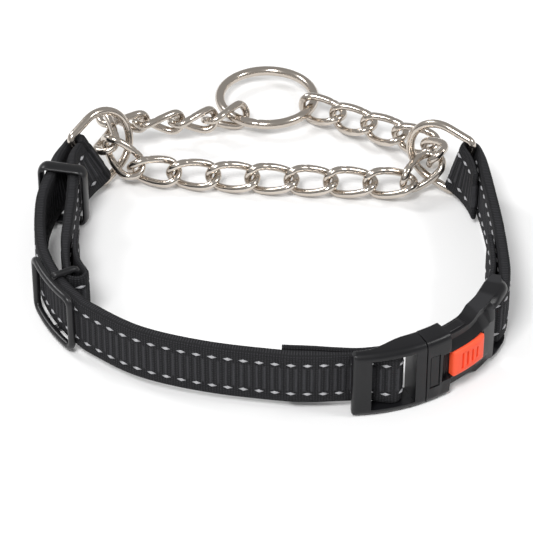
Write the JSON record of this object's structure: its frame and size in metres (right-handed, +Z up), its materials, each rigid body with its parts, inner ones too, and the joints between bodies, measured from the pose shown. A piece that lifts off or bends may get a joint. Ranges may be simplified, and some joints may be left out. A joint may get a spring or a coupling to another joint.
{
  "type": "martingale collar",
  "caption": "Martingale dog collar of black webbing with a side-release buckle, D-rings and a chain loop to a lead ring.",
  "frame": {"origin": "middle of the footprint, on the surface that the collar stands on", "axes": "+Z up across the webbing, -Y towards the buckle, +Y towards the lead ring"},
  "size_m": [0.1637, 0.1962, 0.0288],
  "materials": {
    "webbing_black": "matte woven",
    "plastic_black": "satin",
    "plastic_red": "satin",
    "nickel": "bright",
    "plastic_wire": "satin",
    "thread_silver": "twisted thread"
  },
  "bodies": {
    "collar": {"strap_front": "webbing_black", "strap_return": "webbing_black", "strap_right": "webbing_black", "buckle_socket": "plastic_black"},
    "plug": {"buckle_plug": "plastic_black"},
    "arm_upper": {"plug_arm_upper": "plastic_black"},
    "arm_lower": {"plug_arm_lower": "plastic_black"},
    "lock": {"lock_button": "plastic_red"},
    "slider_wire": {"slider": "plastic_wire"},
    "keeper_loop": {"keeper": "plastic_wire"},
    "dee_left": {"dring_left": "nickel"},
    "dee_right": {"dring_right": "nickel"},
    "front_run": {"front_link_4": "nickel"},
    "ring_run": {"ring_link_right_1": "nickel"},
    "ring": {"lead_ring": "nickel"},
    "front_1": {"front_link_1": "nickel"},
    "front_2": {"front_link_2": "nickel"},
    "front_3": {"front_link_3": "nickel"},
    "front_5": {"front_link_5": "nickel"},
    "front_6": {"front_link_6": "nickel"},
    "front_7": {"front_link_7": "nickel"},
    "corner_left_1": {"corner_link_left_1": "nickel"},
    "corner_right_1": {"corner_link_right_1": "nickel"},
    "corner_left_2": {"corner_link_left_2": "nickel"},
    "corner_right_2": {"corner_link_right_2": "nickel"},
    "ring_left_1": {"ring_link_left_1": "nickel"},
    "ring_left_2": {"ring_link_left_2": "nickel"},
    "ring_right_2": {"ring_link_right_2": "nickel"},
    "ring_left_3": {"ring_link_left_3": "nickel"},
    "ring_right_3": {"ring_link_right_3": "nickel"},
    "ring_left_4": {"ring_link_left_4": "nickel"},
    "ring_right_4": {"ring_link_right_4": "nickel"}
  },
  "joints": [
    {"name": "plug_slide", "type": "hinge", "parent": "collar", "child": "plug", "pos_m": [0.024, -0.0387, 0.0129], "axis": [0, 0, 1], "range_deg": [-24, 0], "deforming": ["strap_front"]},
    {"name": "arm_upper_flex", "type": "hinge", "parent": "plug", "child": "arm_upper", "pos_m": [0.04988, -0.08677, 0.02225], "axis": [-0.4741, 0.8805, 0], "range_deg": [0, 3.5], "stiffness_Nm_per_rad": 0.05},
    {"name": "arm_lower_flex", "type": "hinge", "parent": "plug", "child": "arm_lower", "pos_m": [0.04988, -0.08677, 0.00355], "axis": [0.4741, -0.8805, 0], "range_deg": [0, 3.5], "stiffness_Nm_per_rad": 0.05},
    {"name": "lock_slide", "type": "hinge", "parent": "collar", "child": "lock", "pos_m": [0.024, -0.0387, 0.0129], "axis": [0, 0, 1], "range_deg": [-3.8, 0]},
    {"name": "slider_travel", "type": "hinge", "parent": "collar", "child": "slider_wire", "pos_m": [-0.0117, -0.0197, 0.0129], "axis": [0, 0, 1], "range_deg": [-3, 3], "deforming": ["strap_return"]},
    {"name": "keeper_travel", "type": "slide", "parent": "collar", "child": "keeper_loop", "axis": [0.2079, 0.9781, 0], "range_m": [-0.002, 0.002]},
    {"name": "dring_left_swing", "type": "hinge", "parent": "collar", "child": "dee_left", "pos_m": [-0.066, 0.0283, 0.0121], "axis": [-0.468, -0.0421, 0.8827], "range_deg": [-5, 4]},
    {"name": "dring_right_swing", "type": "hinge", "parent": "collar", "child": "dee_right", "pos_m": [0.0696, 0.0238, 0.0129], "axis": [0.2654, -0.0604, 0.9623], "range_deg": [-4, 4]},
    {"name": "front_run_swing", "type": "hinge", "parent": "collar", "child": "front_run", "pos_m": [-0.0486, 0.0309, 0.0073], "axis": [0.9967, -0.0804, -0.007], "range_deg": [-4, 14]},
    {"name": "ring_run_lift", "type": "hinge", "parent": "collar", "child": "ring_run", "pos_m": [-0.0594, 0.05025, 0.0153], "axis": [0.996, -0.0603, -0.0653], "range_deg": [0, 20]},
    {"name": "lead_ring_tilt", "type": "hinge", "parent": "ring_run", "child": "ring", "pos_m": [-0.0102, 0.0675, 0.0056], "axis": [0.9751, 0.2216, 0], "range_deg": [-28, 6]},
    {"name": "front_link_1_roll", "type": "hinge", "parent": "front_run", "child": "front_1", "pos_m": [-0.04151, 0.03033, 0.00676], "axis": [0.9939, -0.0802, -0.0758], "range_deg": [-3, 3]},
    {"name": "front_link_2_roll", "type": "hinge", "parent": "front_run", "child": "front_2", "pos_m": [-0.02734, 0.02919, 0.00598], "axis": [0.9962, -0.0803, -0.0341], "range_deg": [-6, 6]},
    {"name": "front_link_3_roll", "type": "hinge", "parent": "front_run", "child": "front_3", "pos_m": [-0.01317, 0.02804, 0.00567], "axis": [0.9967, -0.0804, -0.0091], "range_deg": [-6, 6]},
    {"name": "front_link_5_roll", "type": "hinge", "parent": "front_run", "child": "front_5", "pos_m": [0.01517, 0.02576, 0.00564], "axis": [0.9967, -0.0804, 0.0053], "range_deg": [-6, 6]},
    {"name": "front_link_6_roll", "type": "hinge", "parent": "front_run", "child": "front_6", "pos_m": [0.02934, 0.02461, 0.00582], "axis": [0.9966, -0.0804, 0.0201], "range_deg": [-6, 6]},
    {"name": "front_link_7_roll", "type": "hinge", "parent": "front_run", "child": "front_7", "pos_m": [0.04351, 0.02347, 0.00628], "axis": [0.9958, -0.0803, 0.0447], "range_deg": [-3, 3]},
    {"name": "corner_link_left_1_roll", "type": "hinge", "parent": "collar", "child": "corner_left_1", "pos_m": [-0.0533, 0.03325, 0.0112], "axis": [-0.6999, 0.4433, 0.56], "range_deg": [-3, 3]},
    {"name": "corner_link_right_1_roll", "type": "hinge", "parent": "collar", "child": "corner_right_1", "pos_m": [0.05485, 0.0273, 0.00875], "axis": [0.7575, 0.5741, 0.311], "range_deg": [-3, 3]},
    {"name": "corner_link_left_2_roll", "type": "hinge", "parent": "collar", "child": "corner_left_2", "pos_m": [-0.0589, 0.04265, 0.01435], "axis": [0.0456, 0.9807, 0.1901], "range_deg": [-3, 3]},
    {"name": "corner_link_right_2_roll", "type": "hinge", "parent": "collar", "child": "corner_right_2", "pos_m": [0.05965, 0.03705, 0.0098], "axis": [-0.1542, 0.8382, -0.5231], "range_deg": [-3, 3]},
    {"name": "ring_link_left_1_roll", "type": "hinge", "parent": "ring_run", "child": "ring_left_1", "pos_m": [-0.05358, 0.05205, 0.01383], "axis": [0.98, 0.0963, -0.174], "range_deg": [-3, 3]},
    {"name": "ring_link_left_2_roll", "type": "hinge", "parent": "ring_run", "child": "ring_left_2", "pos_m": [-0.0405, 0.05428, 0.01148], "axis": [0.9564, 0.2344, -0.174], "range_deg": [-6, 6]},
    {"name": "ring_link_right_2_roll", "type": "hinge", "parent": "ring_run", "child": "ring_right_2", "pos_m": [0.04219, 0.05419, 0.00785], "axis": [-0.8299, 0.5539, -0.0662], "range_deg": [-6, 6]},
    {"name": "ring_link_left_3_roll", "type": "hinge", "parent": "ring_run", "child": "ring_left_3", "pos_m": [-0.02788, 0.05835, 0.00912], "axis": [0.9135, 0.3677, -0.174], "range_deg": [-6, 6]},
    {"name": "ring_link_right_3_roll", "type": "hinge", "parent": "ring_run", "child": "ring_right_3", "pos_m": [0.03091, 0.06171, 0.00695], "axis": [-0.8299, 0.5539, -0.0662], "range_deg": [-6, 6]},
    {"name": "ring_link_left_4_roll", "type": "hinge", "parent": "ring_run", "child": "ring_left_4", "pos_m": [-0.01595, 0.06417, 0.00677], "axis": [0.8521, 0.4937, -0.174], "range_deg": [-6, 6]},
    {"name": "ring_link_right_4_roll", "type": "hinge", "parent": "ring_run", "child": "ring_right_4", "pos_m": [0.01964, 0.06924, 0.00605], "axis": [-0.8299, 0.5539, -0.0662], "range_deg": [-6, 6]}
  ],
  "couplings": [
    {"joint": "arm_lower_flex", "follows": "arm_upper_flex", "ratio": 1}
  ]
}
